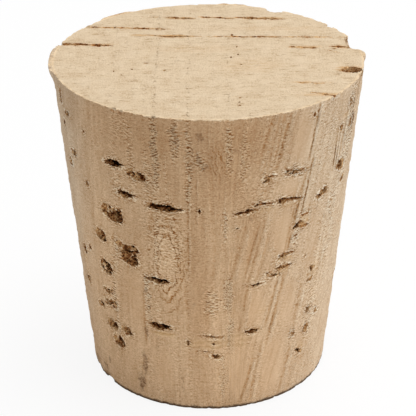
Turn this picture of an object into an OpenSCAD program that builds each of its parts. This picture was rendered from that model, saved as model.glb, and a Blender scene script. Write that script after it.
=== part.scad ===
// Tapered cork stopper, cut from one piece of natural cork.
// It stands on its narrow end, with its axis on Z and the origin in the middle of
// that end. The bark's growth layers stand across X, so the pores (lenticels) run
// along X: they show as cracks on both ends, as slits on the front and back, and as
// ragged round pits on the two flanks.

/* [Body] */
// Diameter across the wide top end
top_d = 35; // [31:0.5:39]
// Diameter across the narrow bottom end
bottom_d = 28; // [24:0.5:31]
// Height from end to end
height = 38; // [30:1:46]
// Radius worn onto the edge of the top
rim_round = 0.4; // [0.2:0.1:1]
// Radius worn onto the edge of the bottom
foot_round = 0.6; // [0.2:0.1:1]

/* [Pits in the flanks] */
// Length of the largest pit, round the stopper
pit_l = 2.6; // [1.5:0.1:3.5]
// Height of the largest pit
pit_h = 2.3; // [1.2:0.1:3]
// Depth of the largest pit
pit_depth = 2.4; // [1:0.1:3.5]

/* [Slits in the front and back] */
// Length of the largest slit, round the stopper
slit_l = 4.6; // [2.5:0.1:6]
// Height of the largest slit
slit_h = 1; // [0.5:0.1:1.4]
// Depth of the largest slit
slit_depth = 1.5; // [0.5:0.1:2.5]

/* [Cracks in the ends] */
// Width of the widest crack
crack_w = 0.9; // [0.4:0.1:1.4]
// Depth of the widest crack
crack_depth = 1.7; // [0.6:0.1:3]

/* [Chips off the edges] */
// Length of the largest chip, along the edge
chip_l = 4.2; // [2:0.1:6]
// How far the largest chip reaches in from the edge
chip_in = 1.3; // [0.5:0.1:2]
// How far the largest chip reaches down the side
chip_drop = 1.7; // [0.6:0.1:3]

/* [Hidden] */

$fn = 96;
cork = [0.86, 0.74, 0.58];
arc_steps = 4;      // flats in each worn edge
mouth_points = 12;  // points round the mouth of a pore
proud = 0.5;        // how far a cutter stands out of the surface
ragged = 0.17;      // how far a mouth wanders, as a share of its size
floor_share = 0.4;  // size of a pore's floor against its mouth
waist_share = 0.9;  // size of a pore half way down

top_r = top_d / 2;
bottom_r = bottom_d / 2;
taper = atan((top_r - bottom_r) / height);

// Flank pits: azimuth from the front, share of the height, then length and height
// as shares of the largest pit's.
LEFT_PITS = [
    [-34, 0.526, 1, 1], [-40.5, 0.647, 0.98, 0.78], [-48.5, 0.553, 0.54, 0.65],
    [-48.5, 0.442, 0.89, 0.87], [-48.5, 0.355, 0.81, 0.3], [-48, 0.318, 0.66, 0.55],
    [-45.5, 0.182, 0.64, 0.78], [-49, 0.232, 0.6, 0.5], [-39, 0.24, 0.4, 0.48],
    [-55.5, 0.29, 0.5, 0.35], [-27, 0.803, 0.62, 0.43], [-37, 0.824, 0.81, 0.3],
    [-33, 0.729, 0.66, 0.35], [-63, 0.784, 0.44, 0.35], [-67.5, 0.742, 0.4, 0.43],
    [-64, 0.908, 0.46, 0.22], [-69.5, 0.863, 0.3, 0.35], [-68.5, 0.945, 0.24, 0.7],
    [-66, 0.447, 0.38, 0.45], [-66, 0.342, 0.34, 0.4],
    [-82, 0.6, 0.8, 0.7], [-88, 0.36, 0.6, 0.75], [-97, 0.77, 0.7, 0.5],
    [-104, 0.21, 0.75, 0.6], [-112, 0.52, 0.95, 0.85], [-118, 0.66, 0.5, 0.45],
    [-129, 0.33, 0.7, 0.55], [-134, 0.81, 0.6, 0.35]];
RIGHT_PITS = [
    [39.5, 0.621, 0.54, 0.57], [49.5, 0.692, 0.66, 0.39], [60.5, 0.755, 0.78, 0.52],
    [64.5, 0.692, 0.33, 0.43], [33, 0.521, 0.64, 0.43], [19, 0.282, 0.46, 0.32],
    [48, 0.416, 0.32, 0.55], [48.8, 0.287, 0.3, 0.35], [49, 0.218, 0.34, 0.46],
    [45.5, 0.145, 0.45, 0.25], [56, 0.263, 0.25, 0.35], [66.5, 0.868, 0.3, 0.43],
    [78, 0.31, 0.7, 0.8], [84, 0.57, 0.85, 0.7], [93, 0.82, 0.5, 0.4],
    [101, 0.43, 0.9, 0.9], [110, 0.17, 0.6, 0.55], [118, 0.63, 0.7, 0.5],
    [131, 0.48, 0.6, 0.45], [137, 0.74, 0.8, 0.4]];

// Slits: azimuth, share of the height, then length and height as shares of the
// largest slit's.
SLITS = [
    [-16.3, 0.711, 0.76, 0.95], [-21, 0.46, 0.6, 0.65], [-21.7, 0.295, 0.55, 0.95],
    [17, 0.707, 0.85, 0.35], [32.5, 0.711, 0.6, 0.6], [22, 0.795, 0.3, 0.4],
    [35, 0.807, 0.6, 0.35], [30, 0.479, 0.7, 0.75], [19.5, 0.447, 0.4, 0.4],
    [1, 0.272, 0.7, 0.3], [3.2, 0.2, 0.24, 0.6],
    [152, 0.25, 0.7, 0.6], [158, 0.87, 0.6, 0.45], [166, 0.6, 1, 0.8],
    [177, 0.4, 0.5, 0.5], [188, 0.76, 0.8, 0.6], [194, 0.16, 0.6, 0.5],
    [203, 0.5, 0.9, 0.7], [211, 0.29, 0.5, 0.45]];

// Cracks: the two ends of each, as shares of the end's radius, then its width as a
// share of the widest crack's.
TOP_CRACKS = [
    [[-0.26, 0.725], [-0.1, 0.715], 0.55], [[-0.06, 0.74], [0.17, 0.71], 0.45],
    [[0.26, 0.725], [0.48, 0.69], 0.95], [[-0.84, 0.56], [-0.21, 0.5], 0.4],
    [[-0.48, 0.4], [-0.1, 0.37], 0.85], [[-0.08, 0.375], [0.88, 0.35], 0.35],
    [[-1.04, 0.25], [-0.63, 0.21], 0.5], [[0.53, 0.17], [0.7, 0.16], 0.8],
    [[0.63, -0.59], [0.85, -0.68], 0.45]];
BOTTOM_CRACKS = [
    [[-0.72, 0.36], [0.12, 0.33], 0.5], [[-0.16, -0.4], [0.7, -0.44], 0.6],
    [[0.36, 0.62], [0.74, 0.6], 0.8], [[-0.86, -0.16], [-0.5, -0.18], 0.45]];

// Chips: azimuth, then length, reach and drop as shares of the largest chip's.
TOP_CHIPS = [
    [104, 1, 1, 1], [152, 0.6, 0.7, 0.7], [124, 0.28, 0.35, 0.4], [75.5, 0.45, 0.9, 1],
    [-18, 0.22, 0.35, 0.35], [-33, 0.4, 0.45, 0.4], [-86, 0.2, 0.3, 0.3]];
BOTTOM_CHIPS = [[-57, 0.4, 0.45, 0.4], [-70, 0.24, 0.35, 0.35], [128, 0.35, 0.4, 0.4]];

function radius_at(z) = bottom_r + (top_r - bottom_r) * z / height;

// A mouth that wanders in and out, different for each seed. It has unit half-length
// and half-height.
function mouth(seed) = [for (i = [0 : mouth_points - 1])
    let (t = 360 * i / mouth_points,
         wander = 1 + ragged * (sin(2 * t + 97 * seed) + 0.7 * sin(3 * t + 151 * seed)))
    [cos(t) * wander, sin(t) * wander]];

// The rings of a pore, from proud of the surface down to its floor, each a list of
// [along, across, depth].
function pore(l, h, depth, seed) = [
    for (ring = [[-proud, 1.1], [depth / 2, waist_share], [depth, floor_share]])
    [for (p = mouth(seed)) [p.x * ring[1] * l / 2, p.y * ring[1] * h / 2, ring[0]]]];

// Where a pore's point lies on the side. Pores run along X, so their floors drift
// towards the front or the back as they go in.
function on_side(azimuth, z, p) =
    let (drift = -sign(sin(azimuth)) * cos(azimuth) * 0.6,
         level = z + p.y,
         r = radius_at(level) - p.z,
         a = azimuth + (p.x + drift * max(p.z, 0)) / radius_at(z) * 180 / PI)
    [r * sin(a), -r * cos(a), level];

// Where a pore's point lies on an end, for a pore centred on middle and turned to
// the angle given. The top end faces up and the bottom end down.
function on_end(middle, angle, top, p) = [
    middle.x + p.x * cos(angle) - p.y * sin(angle),
    middle.y + p.x * sin(angle) + p.y * cos(angle),
    top ? height - p.z : p.z];

function ring_middle(ring) = [for (k = [0 : 2]) sum([for (p = ring) p[k]]) / len(ring)];
function sum(list, i = 0) = i < len(list) ? list[i] + sum(list, i + 1) : 0;

// A closed solid through rings of points, each end closed by a fan to its middle.
module loft(rings, flip) {
    n = len(rings[0]);
    last = len(rings) - 1;
    points = concat([for (ring = rings) each ring],
                    [ring_middle(rings[0]), ring_middle(rings[last])]);
    near_middle = n * (last + 1);
    walls = [for (k = [0 : last - 1]) for (i = [0 : n - 1])
        let (a = k * n + i, b = k * n + (i + 1) % n)
        each [[a, b, b + n], [a, b + n, a + n]]];
    near_cap = [for (i = [0 : n - 1]) [near_middle, (i + 1) % n, i]];
    far_cap = [for (i = [0 : n - 1]) [near_middle + 1, last * n + i, last * n + (i + 1) % n]];
    faces = concat(walls, near_cap, far_cap);
    polyhedron(points, flip ? [for (f = faces) [f[0], f[2], f[1]]] : faces);
}

module side_pore(azimuth, z, l, h, depth, seed)
    loft([for (ring = pore(l, h, depth, seed)) [for (p = ring) on_side(azimuth, z, p)]], false);

module end_pore(middle, angle, l, w, depth, seed, top)
    loft([for (ring = pore(l, w, depth, seed)) [for (p = ring) on_end(middle, angle, top, p)]],
         !top);

// The plug itself: a straight taper with both edges slightly worn.
module plug() {
    rim_x = top_r - rim_round * (1 + sin(taper)) / cos(taper);
    foot_x = bottom_r - foot_round * (1 - sin(taper)) / cos(taper);
    foot = [for (i = [0 : arc_steps]) let (t = -90 + (90 - taper) * i / arc_steps)
        [foot_x + foot_round * cos(t), foot_round + foot_round * sin(t)]];
    rim = [for (i = [0 : arc_steps]) let (t = -taper + (90 + taper) * i / arc_steps)
        [rim_x + rim_round * cos(t), height - rim_round + rim_round * sin(t)]];
    rotate_extrude() polygon(concat([[0, 0]], foot, rim, [[0, height]]));
}

module flank_pits()
    for (i = [0 : len(LEFT_PITS) + len(RIGHT_PITS) - 1]) {
        pit = concat(LEFT_PITS, RIGHT_PITS)[i];
        side_pore(pit[0], pit[1] * height, pit[2] * pit_l, pit[3] * pit_h,
                  sqrt(pit[2] * pit[3]) * pit_depth, i);
    }

module front_and_back_slits()
    for (i = [0 : len(SLITS) - 1]) {
        slit = SLITS[i];
        side_pore(slit[0], slit[1] * height, slit[2] * slit_l, slit[3] * slit_h,
                  sqrt(slit[3]) * slit_depth, i + 3);
    }

module end_cracks(cracks, r, top)
    for (i = [0 : len(cracks) - 1]) {
        from = cracks[i][0] * r;
        to = cracks[i][1] * r;
        end_pore((from + to) / 2, atan2(to.y - from.y, to.x - from.x), norm(to - from),
                 cracks[i][2] * crack_w, sqrt(cracks[i][2]) * crack_depth, i + 5, top);
    }

module edge_chips(chips, r, top)
    for (i = [0 : len(chips) - 1]) {
        chip = chips[i];
        end_pore([r * sin(chip[0]), -r * cos(chip[0])], chip[0], chip[1] * chip_l,
                 2 * chip[2] * chip_in, chip[3] * chip_drop, i + 7, top);
    }

module stopper()
    color(cork)
    difference() {
        plug();
        flank_pits();
        front_and_back_slits();
        end_cracks(TOP_CRACKS, top_r, true);
        end_cracks(BOTTOM_CRACKS, bottom_r, false);
        edge_chips(TOP_CHIPS, top_r, true);
        edge_chips(BOTTOM_CHIPS, bottom_r, false);
    }

stopper();
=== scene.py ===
import math
from functools import partialmethod

import bmesh
import bpy
from mathutils import Matrix, Vector
from mathutils.bvhtree import BVHTree


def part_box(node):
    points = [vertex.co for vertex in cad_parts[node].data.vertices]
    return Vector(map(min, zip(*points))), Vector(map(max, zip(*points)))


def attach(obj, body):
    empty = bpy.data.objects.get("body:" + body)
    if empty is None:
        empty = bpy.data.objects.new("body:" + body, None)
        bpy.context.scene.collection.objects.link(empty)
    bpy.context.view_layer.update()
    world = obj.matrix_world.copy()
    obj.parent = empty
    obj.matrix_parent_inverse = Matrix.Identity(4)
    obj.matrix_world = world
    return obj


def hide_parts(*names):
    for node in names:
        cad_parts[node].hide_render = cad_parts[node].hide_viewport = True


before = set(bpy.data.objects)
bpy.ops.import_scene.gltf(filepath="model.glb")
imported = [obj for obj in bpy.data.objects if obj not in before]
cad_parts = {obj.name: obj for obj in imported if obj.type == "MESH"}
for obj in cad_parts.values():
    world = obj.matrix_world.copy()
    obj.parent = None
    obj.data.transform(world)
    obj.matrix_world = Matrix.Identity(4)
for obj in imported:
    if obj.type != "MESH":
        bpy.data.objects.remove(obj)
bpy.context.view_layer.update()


# ---- Blank ------------------------------------------------------------------------
# The stopper before its pores are cut: one round, tapered plug of natural cork, turned
# and sanded. The bark's growth layers stand across X, so they streak its sides from top
# to bottom and lean over towards the right. Its top edge has crumbled into low lips.

MM = 0.001
LOW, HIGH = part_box("stopper")
HEIGHT = (HIGH.z - LOW.z) / MM
TOP_RADIUS = 17.5
BOTTOM_RADIUS = 14.0
STEPS_ACROSS = 170
STEPS_UP = 250

# The layers are upright on the left. They begin to lean at the first of these distances
# across, and past the second they lean by LEAN for each millimetre of height.
LEAN = 0.22
LEAN_FROM, LEAN_TO = 1.0, 4.5
# Noise of about this many mm makes them waver.
WAVER = 0.9

# Growth layers with torn, open cells show as columns of fine specks, and as dotted lines on
# the ends: distance across the stopper at its top, half width and force.
CRUMBLY_LAYERS = [
    (-10.4, 0.6, 0.5), (-6.7, 0.35, 0.5), (-5.7, 0.4, 1.0), (-3.6, 0.5, 0.5),
    (-2.15, 0.25, 0.9), (2.15, 0.25, 0.8), (4.4, 0.45, 0.5), (13.6, 0.6, 0.4)]
# Where they are torn in front: azimuth and height, half the angle and height, and force.
TORN_SPOTS = [
    (-19.3, 34, 1.6, 4.6, 1.3), (-21, 30, 3.5, 2.5, 0.4), (-23, 31, 1.2, 3.6, 0.5),
    (-15.6, 30, 1, 4, 0.5), (-12, 35.4, 2.2, 2.8, 0.8), (-7, 32.5, 1.6, 5.5, 0.8),
    (23, 34.5, 6, 4, 0.15), (-3, 33, 2.5, 1.3, 0.8), (7, 34.5, 1.5, 3.8, 0.8),
    (6.2, 25, 1.3, 2.2, 0.8), (13, 33, 1.6, 5, 0.5), (-33, 36.5, 4, 2.5, 0.3),
    (-36, 30, 3, 3.5, 0.3), (-29, 33, 2, 5, 0.4), (-17, 23, 8.5, 5, 0.3),
    (-26.5, 14.5, 1.8, 3.2, 0.9), (-41, 19, 3, 2.5, 0.4), (-44, 13, 1.2, 6, 0.5),
    (1, 15, 4, 2.5, 0.6), (8, 16, 2.2, 3, 0.8), (9, 11, 1.6, 2.2, 0.7), (11, 8.5, 4, 1.4, 0.3),
    (6.5, 4, 2, 3.5, 0.4), (19, 28, 4, 2, 0.3), (33, 30.5, 5, 1, 0.5), (49, 31, 7, 8, 0.08),
    (57, 21, 10, 6, 0.3), (66, 33, 5, 6, 0.8),
    (36.5, 22, 1.6, 1.6, 0.6), (40, 8, 3, 1.2, 0.3), (50, 11, 5, 5, 0.3)]
# Where the cork between creases is sanded quite plain.
PLAIN_SPOTS = [
    (35.5, 34.5, 4.5, 3.4, 0.7), (32, 28.6, 5, 1.4, 0.7), (30, 23, 5, 3, 0.7),
    (20, 13.6, 4.5, 2.8, 0.6), (13, 5, 6, 4.5, 0.6), (35, 13, 5, 4, 0.6),
    (30, 5, 7, 5, 0.6), (47, 21, 5, 4, 0.3), (-20, 5, 5, 3.5, 0.4), (-32, 14, 5, 4, 0.4)]
# Creases, each a valley with a ridge on its right: distance across and height of its lower
# end and of its upper one, half width and force. Each shifts the next by CREASE_SHIFT of
# its own height.
CREASES = [
    (5.2, 31.3, 7.1, 38, 0.25, 0.9), (6.2, 31, 7.7, 38, 0.13, 0.6),
    (7.4, 31, 8.9, 38, 0.25, 1.2), (6.9, 31.5, 8.3, 38, 0.13, 0.6),
    (10.9, 31.5, 12.0, 38, 0.15, 2.0), (9.6, 24.5, 10.8, 30.4, 0.2, 1.1),
    (10.2, 24.5, 11.4, 31.6, 0.13, 2.4), (8.8, 20.5, 9.9, 26.2, 0.2, 1.8),
    (8.4, 20.5, 9.5, 26.2, 0.12, 0.8), (2.5, 17.5, 4.5, 25.6, 0.27, 0.8),
    (4.0, 18, 5.7, 25, 0.18, 1.0), (3.6, 10.5, 4.8, 18.6, 0.25, 0.8),
    (4.8, 18, 6.4, 26, 0.26, 1.0), (6.5, 11, 7.9, 17.4, 0.2, 1.1),
    (6.6, 8.4, 8.6, 17.4, 0.25, 1.1), (3.7, 0.5, 5.3, 7, 0.22, 1.0),
    (4.8, 0.3, 6.1, 9, 0.22, 0.9), (9.8, 10, 10.8, 15.4, 0.25, 0.9),
    (8.2, 0.4, 9.6, 7.2, 0.22, 1.0), (13.68, 28.6, 14.28, 34, 0.1, 2.4),
    (13.98, 28.6, 14.58, 34, 0.1, 2.4), (12.3, 27, 13.6, 36, 0.15, 0.4),
    (11.6, 27, 13.0, 37, 0.12, 0.4), (14.4, 29, 15.4, 36, 0.14, 1.0),
    (11.6, 14, 12.8, 24, 0.2, 0.4), (12.6, 16, 13.4, 27, 0.16, 0.5),
    (-10.5, 17, -10.4, 22, 0.2, 1.0), (-9.8, 18, -9.7, 22, 0.18, 0.9),
    (-10.5, 6, -10.5, 16, 0.18, 0.7), (-7.0, 8, -7.0, 12, 0.18, 0.9),
    (-2.1, 19, -2.1, 31, 0.12, 1.2), (-1.25, 25, -1.2, 31, 0.1, 0.9),
    (-8.9, 10, -8.8, 19, 0.14, 0.2), (-7.2, 10, -7.1, 17.5, 0.14, 0.5)]
CREASE_SHIFT = 0.01
# Where a layer lies almost flat against the side and its edges show as closed curves.
CURVED_SPOTS = [(-16.5, 20, 8.5, 7.5, 1.0), (3, 33, 4, 2.5, 0.5), (30, 34, 5, 4, 0.2)]
# Stains, as the same spots: brown ones, and the pale ochre of tissue that was sanded flush.
BROWN_SPOTS = [
    (-28.3, 9.9, 0.9, 0.9, 1.0), (-30.3, 5.2, 1.6, 1.9, 1.1), (-33, 2.3, 2.2, 1.4, 1.3),
    (-12, 36.5, 1.2, 0.8, 0.6), (-11, 35.3, 1, 0.5, 0.6), (-3.5, 33.3, 1.6, 0.6, 0.8),
    (-1.5, 32.4, 1.2, 0.4, 0.8), (-3, 36, 1.2, 0.6, 0.6), (-12, 4.2, 0.5, 0.6, 0.6),
    (-12.6, 2.8, 0.4, 0.8, 0.5), (3.4, 7.5, 1.6, 0.5, 0.7), (-71, 1.2, 4, 0.6, 0.8),
    (-59.5, 1.7, 2.5, 0.4, 1.0), (-59, 0.6, 4, 0.5, 1.0), (-54.5, 3.1, 1.2, 0.6, 0.8),
    (-27, 15.8, 1, 0.4, 0.7), (-6.5, 14.6, 0.9, 0.4, 0.5), (10, 34, 1.6, 0.4, 0.5),
    (16.4, 25.7, 1, 0.3, 0.6), (42.3, 36, 0.6, 1.2, 0.8), (47.5, 24.7, 0.8, 0.3, 0.5),
    (27, 10.6, 1.2, 0.4, 0.5), (-3, 34, 6, 3.5, 0.25), (39.5, 9, 1.6, 0.9, 0.5),
    (61, 33, 0.8, 3.5, 0.8), (69, 34, 1.2, 2.5, 1.0), (73, 36, 1, 1.6, 1.0)]
OCHRE_SPOTS = [
    (-1, 9.3, 9.5, 0.9, 0.9), (-20, 10.15, 6.5, 0.4, 1.2), (12, 9.5, 6, 1.2, 0.6),
    (22, 26.4, 3.5, 0.6, 0.4), (31, 26.4, 3, 0.4, 0.4), (24, 13.2, 3, 0.5, 0.4),
    (61, 34.6, 2.5, 0.6, 0.8), (50, 16.2, 3.5, 1.2, 0.7), (46, 6, 3, 1.0, 0.5),
    (40.2, 23.8, 2.6, 1.0, 1.0), (33, 19.5, 2.6, 0.5, 0.9), (31, 18, 3.4, 0.5, 0.8),
    (22.5, 30.4, 1.6, 0.5, 0.5), (19.5, 16.7, 2, 0.4, 0.6),
    (-66, 15, 2, 2.5, 0.6), (-35, 18.8, 3, 0.5, 0.6)]
# The pale brown lenses of the top: place across and along it, half sizes and force.
TOP_STAINS = [
    (-4, 6.6, 2.4, 0.55, 1.0), (6.5, 12.45, 2.8, 0.4, 0.9), (-3.2, 12.6, 1.8, 0.4, 0.9),
    (1, 12.8, 2.4, 0.3, 0.6), (11, 3.0, 2.2, 0.4, 0.8), (15.4, 3.0, 1.2, 0.6, 0.7),
    (-7.6, 6.9, 1.8, 0.3, 0.5), (-10, 9.4, 4.5, 0.3, 0.5), (-14.5, 4.0, 4, 0.4, 0.6),
    (15.7, -3.7, 1.8, 0.9, 0.8), (12, -10.8, 2.4, 0.5, 0.6), (11, -7.5, 2.6, 0.35, 0.6),
    (4.5, -2.5, 4, 2.5, 0.2), (-1, 2.5, 6, 1.2, 0.15), (8, 9, 6, 0.8, 0.2)]

# Tones of sanded cork as 0-255 colours, from a valley (0) to a ridge (1).
SIDE_TONES = [(0.0, (140, 82, 32)), (0.25, (180, 131, 80)), (0.5, (210, 175, 137)),
              (0.75, (238, 206, 168)), (1.0, (255, 233, 200))]
END_TONES = [(0.0, (142, 104, 68)), (0.3, (194, 164, 128)), (0.5, (218, 195, 163)),
             (0.75, (230, 209, 180)), (1.0, (242, 226, 202))]
# What tints multiply the red, green and blue by, and where the brown and the pale one lie,
# as spots like the others.
BROWN_DRIFT = (0.91, 0.87, 0.83)
PALE_DRIFT = (1.09, 1.11, 1.13)
TORN_DRIFT = (1.06, 1.02, 0.97)
# The grey tint pales both flanks, partly the cork's own greyer colour and partly painted sheen
# where they turn away.
GREY_AND_SHEEN_DRIFT = (1.01, 1.13, 1.3)
# The tint of the painted highlight along the top's worn edge.
EDGE_HIGHLIGHT = (1.14, 1.12, 1.08)
WARM_SPOTS = [
    (-27, 36, 17, 4, 0.9), (-4, 33, 26, 8, 1.1), (-4, 17, 6, 12, 1.0), (24, 35.5, 15, 4, 1.2),
    (16, 24, 6, 5, 0.8), (-25, 8, 5, 7, 0.6), (-4.5, 20, 2.5, 9, 0.35), (-62, 36, 9, 4, 1.0),
    (38, 8, 14, 10, 0.5)]
PALE_SPOTS = [
    (6, 8, 8, 8, 1.0), (-16, 19, 8, 5, 1.0), (-48, 20, 8, 8, 0.8), (-62, 19, 6, 11, 1.0),
    (50, 14, 10, 4, 0.5)]
STAIN_BROWN = (120, 82, 50)
STAIN_OCHRE = (222, 184, 136)
LENS_OCHRE = (206, 158, 98)
# The dark of the painted contact shadow along the bottom edge.
CONTACT_SHADE = (66, 46, 32)

# Lips of the top edge: azimuth from the front, half the angle it spans, and how far it
# stands out. All reach this far down the side.
RIM_LIPS = [(-89, 17, 0.42), (-141, 9, 0.4), (170, 7, 0.38), (93, 3.5, 0.3)]
LIP_DROP = 2.2


class Field:
    """A number that varies over a surface. Arithmetic on it adds Math nodes to its tree."""

    def __init__(self, tree, socket):
        self.tree = tree
        self.socket = socket

    def math(self, operation, *others):
        made = add(self.tree, "ShaderNodeMath", enumerate((self, *others)), operation=operation)
        return Field(self.tree, made.outputs[0])

    __add__ = __radd__ = partialmethod(math, "ADD")
    __sub__ = partialmethod(math, "SUBTRACT")
    __mul__ = __rmul__ = partialmethod(math, "MULTIPLY")
    __truediv__ = partialmethod(math, "DIVIDE")
    least = partialmethod(math, "MINIMUM")
    most = partialmethod(math, "MAXIMUM")
    size = partialmethod(math, "ABSOLUTE")
    root = partialmethod(math, "SQRT")
    sine = partialmethod(math, "SINE")
    power = partialmethod(math, "POWER")

    def __rsub__(self, other):
        return self * -1 + other

    def smooth(self, low, high):
        """0 at low, 1 at high, and an easy curve between; low may be the larger."""
        made = add(self.tree, "ShaderNodeMapRange",
                   {"Value": self, "From Min": low, "From Max": high},
                   interpolation_type="SMOOTHSTEP")
        return Field(self.tree, made.outputs[0])


def feed(tree, socket, value):
    """Sets a socket, or links it where the value is a Field or another socket."""
    if isinstance(value, Field):
        value = value.socket
    if isinstance(value, bpy.types.NodeSocket):
        tree.links.new(value, socket)
    else:
        socket.default_value = value


def feed_all(tree, node, values):
    """Feeds a node's inputs. values pairs their names or numbers with what feeds them."""
    for name, value in dict(values).items():
        feed(tree, node.inputs[name], value)


def add(tree, kind, values=(), **settings):
    """Adds a node with its settings and what feeds it."""
    made = tree.nodes.new(kind)
    for name, value in settings.items():
        setattr(made, name, value)
    feed_all(tree, made, values)
    return made


def parts(tree, vector):
    """The three numbers of a vector, as Fields."""
    split = add(tree, "ShaderNodeSeparateXYZ", {"Vector": vector})
    return [Field(tree, out) for out in split.outputs]


def joined(tree, x, y, z):
    return add(tree, "ShaderNodeCombineXYZ", {"X": x, "Y": y, "Z": z}).outputs[0]


def scaled(tree, vector, factor):
    return add(tree, "ShaderNodeVectorMath", {0: vector, "Scale": factor},
               operation="SCALE").outputs[0]


def length(tree, vector):
    away = add(tree, "ShaderNodeVectorMath", {0: vector}, operation="LENGTH")
    return Field(tree, away.outputs["Value"])


def noise(tree, vector, scale, detail=2.0, rough=0.5):
    """Soft noise around 0.5, as a Field."""
    made = add(tree, "ShaderNodeTexNoise",
               {"Vector": vector, "Scale": scale, "Detail": detail, "Roughness": rough})
    return Field(tree, made.outputs[0])


def radius_at(z):
    """Radius of the plain taper, from a height as a number or a Field."""
    return BOTTOM_RADIUS + (TOP_RADIUS - BOTTOM_RADIUS) * z / HEIGHT


def azimuth_of(x, y):
    """Degrees round the stopper from its front, positive to the right."""
    return x.math("ARCTAN2", y * -1) * (180 / math.pi)


def layer_place(tree, x, y, z):
    """Distance across the growth layers, in mm, from a point in mm."""
    leaning = x.smooth(LEAN_FROM, LEAN_TO) * LEAN
    waver = noise(tree, joined(tree, x * 0.06, y * 0.08, z * 0.12), 1.0, 2.0) - 0.5
    return x - leaning * (z - HEIGHT) + waver * WAVER


def layer_ridges(tree, layer, y, z):
    """The broad ridges of the growth layers, around 0.5."""
    return noise(tree, joined(tree, layer, y * 0.06, z * 0.05), 1.5, 3.0, 0.6)


def linear(colour):
    """A 0-255 colour as the linear one that Blender mixes."""
    shares = [channel / 255 for channel in colour]
    return (*[share / 12.92 if share < 0.04045 else ((share + 0.055) / 1.055) ** 2.4
              for share in shares], 1)


def toned(tree, tone, stops):
    """A colour picked by a Field from stops of place and 0-255 colour."""
    ramp = add(tree, "ShaderNodeValToRGB", {"Fac": tone})
    ends = ramp.color_ramp.elements
    while len(ends) < len(stops):
        ends.new(0.5)
    for end, (place, colour) in zip(ends, stops):
        end.position = place
        end.color = linear(colour)
    return ramp.outputs[0]


def tinted(tree, share, colour, other):
    """Goes from a colour to another as share goes from 0 to 1."""
    return add(tree, "ShaderNodeMix", {"Factor": share, 6: colour, 7: other},
               data_type="RGBA", clamp_factor=False).outputs[2]


def drifted(tree, colour, share, factors):
    """Multiplies a colour by factors, as far as share goes from 0 to 1."""
    full = add(tree, "ShaderNodeVectorMath", {0: colour, 1: factors}, operation="MULTIPLY")
    return tinted(tree, share, colour, full.outputs[0])


def out_of_oval(tree, flat, middle, level, half_width, half_height):
    """How far a point lies from an oval's middle, as a Field that is 1 on its edge."""
    sized = add(tree, "ShaderNodeVectorMath",
                {0: flat, 1: (1 / half_width, 1 / half_height, 0),
                 2: (-middle / half_width, -level / half_height, 0)},
                operation="MULTIPLY_ADD")
    return length(tree, sized.outputs[0])


def spots(tree, across, up, ovals):
    """How much a point lies in soft ovals, each its middle, half sizes and force."""
    total = across * 0
    flat = joined(tree, across, up, 0)
    for *oval, force in ovals:
        inside = out_of_oval(tree, flat, *oval).smooth(1.25, 0.45)
        total = inside.math("MULTIPLY_ADD", force, total)
    return total


def new_sockets(group, way, kind, *titles):
    """Gives a node group inputs or outputs of one kind."""
    for title in titles:
        group.interface.new_socket(title, in_out=way, socket_type="NodeSocket" + kind)


def torn_cells():
    """Fine torn cells of cork, as a shader group. It gives out specks around 0, finer up
    and down than across."""
    group = bpy.data.node_groups.new("torn_cells", "ShaderNodeTree")
    new_sockets(group, "INPUT", "Vector", "Place")
    new_sockets(group, "INPUT", "Float", "Fineness", "Stretch")
    new_sockets(group, "OUTPUT", "Float", "Specks")
    given = group.nodes.new("NodeGroupInput")
    result = group.nodes.new("NodeGroupOutput")
    x, y, z = parts(group, given.outputs["Place"])
    squeezed = joined(group, x, y, z * Field(group, given.outputs["Stretch"]))
    specks = noise(group, squeezed, given.outputs["Fineness"], 2.0, 0.6)
    feed(group, result.inputs["Specks"], (specks - 0.5) * 2)
    return group


TORN_CELLS = torn_cells()


def specks(tree, place, fineness, stretch):
    cells = add(tree, "ShaderNodeGroup",
                {"Place": place, "Fineness": fineness, "Stretch": stretch},
                node_tree=TORN_CELLS)
    return Field(tree, cells.outputs["Specks"])


def bumped(tree, height, shader):
    """Feeds a shader's normal with a height in mm."""
    bump = add(tree, "ShaderNodeBump", {"Height": height, "Distance": MM, "Strength": 1.0})
    feed(tree, shader.inputs["Normal"], bump.outputs[0])


def new_finish(name):
    """A new material, its tree, its shader and the place on the stopper in mm."""
    finish = bpy.data.materials.new(name)
    finish.use_nodes = True
    tree = finish.node_tree
    place = scaled(tree, tree.nodes.new("ShaderNodeTexCoord").outputs["Object"], 1 / MM)
    return finish, tree, tree.nodes["Principled BSDF"], place


def crumbly_columns(tree, layer, y, z):
    """How crumbly the growth layers are, from 0 in sound cork."""
    stretched = joined(tree, layer * 0.5, y * 0.4, z * 0.16)
    columns = noise(tree, stretched, 1.0, 3.0, 0.6).smooth(0.5, 0.62) * 0.4
    for middle, half_width, force in CRUMBLY_LAYERS:
        columns = columns + (layer - middle).size().smooth(half_width * 1.5, 0) * force
    return columns


def creased(tree, x, z, level):
    """The creases, below 0 in their valleys and above it on their ridges. Each shifts the
    next by a share of its own height."""
    folds = x * 0
    for low_x, low, high_x, high, half_width, force in CREASES:
        lean = (high_x - low_x) / (high - low)
        middle = low_x - lean * low
        shifted = folds.math("MULTIPLY_ADD", CREASE_SHIFT, x)
        across = add(tree, "ShaderNodeMapRange",
                     {"Value": z.math("MULTIPLY_ADD", -lean, shifted),
                      "From Min": middle - half_width * 2, "From Max": middle + half_width * 2,
                      "To Min": -math.pi, "To Max": math.pi})
        up = (folds.math("MULTIPLY_ADD", CREASE_SHIFT, level) - (low + high) / 2).size()
        up = up.smooth((high - low) / 2 + 0.6, (high - low) / 2 - 1)
        folds = Field(tree, across.outputs[0]).sine().math("MULTIPLY_ADD", up * force, folds)
    return folds


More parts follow.
